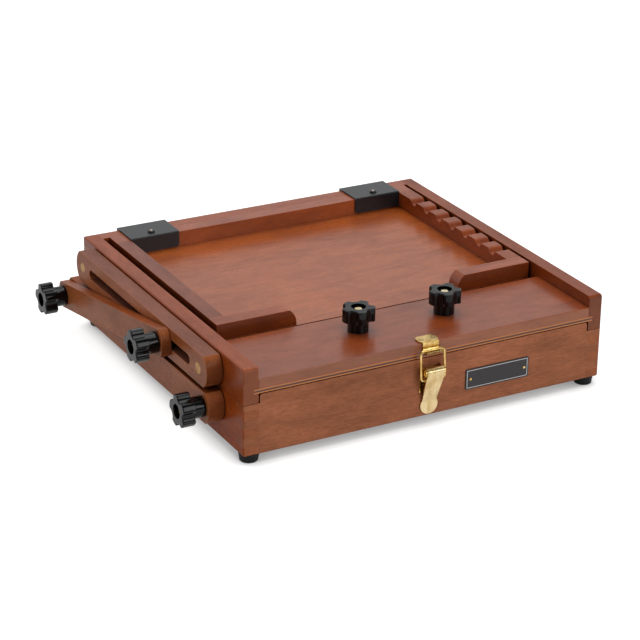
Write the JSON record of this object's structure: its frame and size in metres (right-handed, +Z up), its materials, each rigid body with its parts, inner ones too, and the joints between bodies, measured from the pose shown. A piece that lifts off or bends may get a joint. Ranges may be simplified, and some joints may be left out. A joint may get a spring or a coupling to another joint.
{
  "type": "pochade box",
  "caption": "Varnished wooden pochade box: hinged lid held by a slotted strut with hand knobs, tray with brush comb on the lid, brass draw latch, sliding palette inside.",
  "frame": {"origin": "mouth of the tripod thread in the middle of the underside of the case", "axes": "+X along the case to the right seen from the front, +Y from the front to the rear hinges, +Z up"},
  "size_m": [0.4092, 0.3574, 0.1002],
  "materials": {
    "wood_case": "satin varnish, fine grain",
    "wood_lid": "satin varnish, fine grain",
    "wood_strut": "satin varnish, fine grain",
    "wood_tray": "satin varnish, fine grain",
    "plywood": "satin varnish over three plies",
    "brass": "polished",
    "knob_plastic": "glossy black",
    "black_steel": "satin black",
    "plate_metal": "satin black, bare",
    "steel": "plain",
    "rubber": "matt black"
  },
  "bodies": {
    "base": {"box_front": "wood_case", "box_back": "wood_case", "box_left": "wood_case", "box_right": "wood_case", "bottom_panel": "plywood", "tripod_pad": "plywood", "tripod_t_nut": "steel", "palette_runners": "wood_case", "divider_long": "wood_case", "divider_short": "wood_case", "feet": "rubber", "foot_screws": "steel", "name_plate": "plate_metal", "name_plate_pins": "brass", "latch_base": "brass", "latch_base_screws": "brass", "latch_pin": "brass", "hinge_base_leaves": "brass", "hinge_pins": "brass", "hinge_base_screws": "brass", "arm_pivot_bolt": "brass", "arm_washer": "brass"},
    "sliding_palette": {"palette": "plywood"},
    "lid": {"lid_left_rail": "wood_lid", "lid_right_rail": "wood_lid", "lid_rear_wall": "wood_lid", "lid_panel": "plywood", "front_strip": "wood_lid", "slotted_bar": "wood_strut", "bar_screws": "brass", "bar_washers": "brass", "canvas_ledge": "wood_lid", "hinge_lid_leaves": "brass", "hinge_lid_screws": "brass", "strike": "brass", "strike_screws": "brass", "clamp_bolts": "brass"},
    "clamp_board": {"canvas_clamp": "wood_lid"},
    "left_top_knob": {"top_knob_left": "knob_plastic"},
    "right_top_knob": {"top_knob_right": "knob_plastic"},
    "pivot_knob": {"front_knob": "knob_plastic"},
    "strut_elbow_knob": {"elbow_knob": "knob_plastic"},
    "strut_slot_knob": {"slot_knob": "knob_plastic"},
    "tray": {"tray_floor": "plywood", "tray_left_strip": "wood_tray", "comb_strip": "wood_tray", "tray_back_member": "wood_tray", "tray_bar_left": "wood_tray", "tray_bar_right": "wood_tray", "tray_hooks": "black_steel", "hook_screws": "black_steel"},
    "strut_lower": {"lower_arm": "wood_strut", "elbow_bolt": "brass"},
    "strut_upper": {"upper_arm": "wood_strut", "slot_bolt": "brass"},
    "lever": {"latch_lever": "brass"},
    "bail": {"latch_bail": "brass"}
  },
  "joints": [
    {"name": "lid_hinge", "type": "hinge", "parent": "base", "child": "lid", "pos_m": [0, 0.1725, 0.04775], "axis": [-1, 0, 0], "range_deg": [0, 120]},
    {"name": "lower_arm_swing", "type": "hinge", "parent": "base", "child": "strut_lower", "pos_m": [-0.1885, -0.1223, 0.0315], "axis": [1, 0, 0], "range_deg": [0, 4.7]},
    {"name": "elbow_swing", "type": "hinge", "parent": "strut_lower", "child": "strut_upper", "pos_m": [-0.201, 0.1585, 0.029], "axis": [-1, 0, 0], "range_deg": [0, 123.4]},
    {"name": "palette_slide", "type": "slide", "parent": "base", "child": "sliding_palette", "axis": [0, 1, 0], "range_m": [0, 0.105]},
    {"name": "clamp_slide", "type": "slide", "parent": "lid", "child": "clamp_board", "axis": [0, 1, 0], "range_m": [0, 0.02]},
    {"name": "tray_lift", "type": "slide", "parent": "lid", "child": "tray", "axis": [0, 0, 1], "range_m": [0, 0.06]},
    {"name": "left_top_knob_turn", "type": "hinge", "parent": "lid", "child": "left_top_knob", "pos_m": [-0.0428, -0.1185, 0.082], "axis": [0, 0, 1], "continuous": true},
    {"name": "right_top_knob_turn", "type": "hinge", "parent": "lid", "child": "right_top_knob", "pos_m": [0.0447, -0.1185, 0.082], "axis": [0, 0, 1], "continuous": true},
    {"name": "pivot_knob_turn", "type": "hinge", "parent": "base", "child": "pivot_knob", "pos_m": [-0.208, -0.1223, 0.0315], "axis": [-1, 0, 0], "continuous": true},
    {"name": "elbow_knob_turn", "type": "hinge", "parent": "strut_lower", "child": "strut_elbow_knob", "pos_m": [-0.217, 0.1585, 0.029], "axis": [-1, 0, 0], "continuous": true},
    {"name": "slot_knob_turn", "type": "hinge", "parent": "strut_upper", "child": "strut_slot_knob", "pos_m": [-0.217, -0.0503, 0.0642], "axis": [-1, 0, 0], "continuous": true},
    {"name": "latch_lever_swing", "type": "hinge", "parent": "base", "child": "lever", "pos_m": [0, -0.1779, 0.0456], "axis": [-1, 0, 0], "range_deg": [0, 115]},
    {"name": "latch_bail_swing", "type": "hinge", "parent": "lever", "child": "bail", "pos_m": [0, -0.1763, 0.0382], "axis": [-1, 0, 0], "range_deg": [-94.6, 0]}
  ],
  "couplings": [
    {"joint": "lower_arm_swing", "follows": "lid_hinge", "ratio": 0.0385},
    {"joint": "elbow_swing", "follows": "lid_hinge", "ratio": 1.0275},
    {"joint": "latch_bail_swing", "follows": "latch_lever_swing", "ratio": -0.82}
  ]
}
